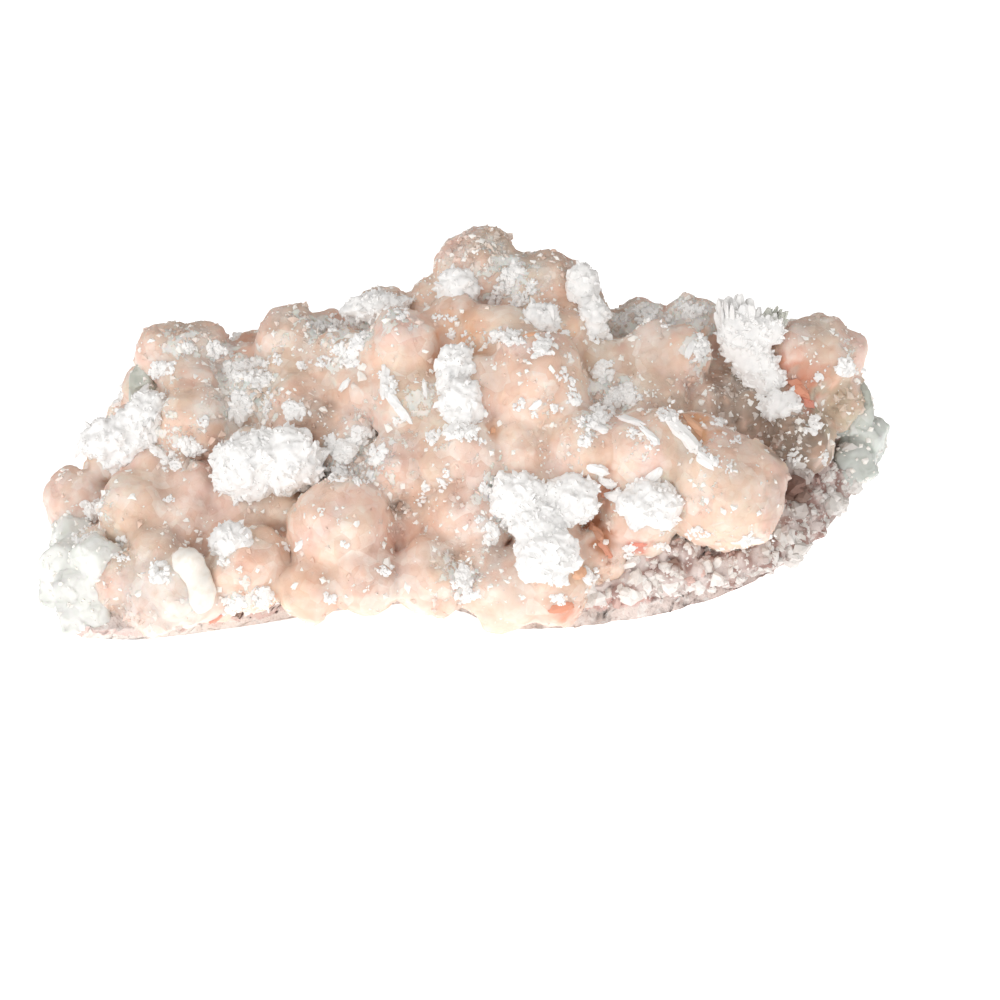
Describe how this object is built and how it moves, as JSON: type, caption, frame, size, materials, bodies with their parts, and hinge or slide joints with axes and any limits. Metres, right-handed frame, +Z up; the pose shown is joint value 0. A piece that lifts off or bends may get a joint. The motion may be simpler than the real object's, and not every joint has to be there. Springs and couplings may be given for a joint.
{
  "type": "stilbite mineral specimen with apophyllite",
  "caption": "Natural cluster of rounded peach stilbite sheaves on a thin matrix plate, with pale green apophyllite at its edges and sugary white crystals, resting on a flat break.",
  "frame": {"origin": "in the flat break that the specimen rests on, near the middle of its length", "axes": "+X along the specimen's length towards the end with the upright matrix edge, -Y the display side, +Z up"},
  "size_m": [0.1395, 0.0714, 0.0625],
  "materials": {
    "matrix": "dull, layered grey-white and red-pink crust with broken edges",
    "stilbite": "peach to cream, silky to pearly, slightly translucent, fine blade edges",
    "apophyllite": "pale grey-green, glassy, see-through with cloudy veils",
    "white_zeolite": "bright white, sugary, matt with small glints"
  },
  "bodies": {
    "root": {"matrix": "matrix", "stilbite": "stilbite", "apophyllite_left": "apophyllite", "apophyllite_right": "apophyllite", "apophyllite_upper_left": "apophyllite", "white_clump_left_shoulder": "white_zeolite", "white_clump_left": "white_zeolite", "white_clump_low_left": "white_zeolite", "white_lobe_low_left": "white_zeolite", "white_clump_ridge": "white_zeolite", "white_clump_summit": "white_zeolite", "white_clump_centre": "white_zeolite", "white_clump_upper": "white_zeolite", "white_clump_upper_right": "white_zeolite", "white_clump_right": "white_zeolite", "white_clump_low_centre": "white_zeolite", "white_clump_low_right": "white_zeolite", "white_spray": "white_zeolite"}
  },
  "joints": []
}
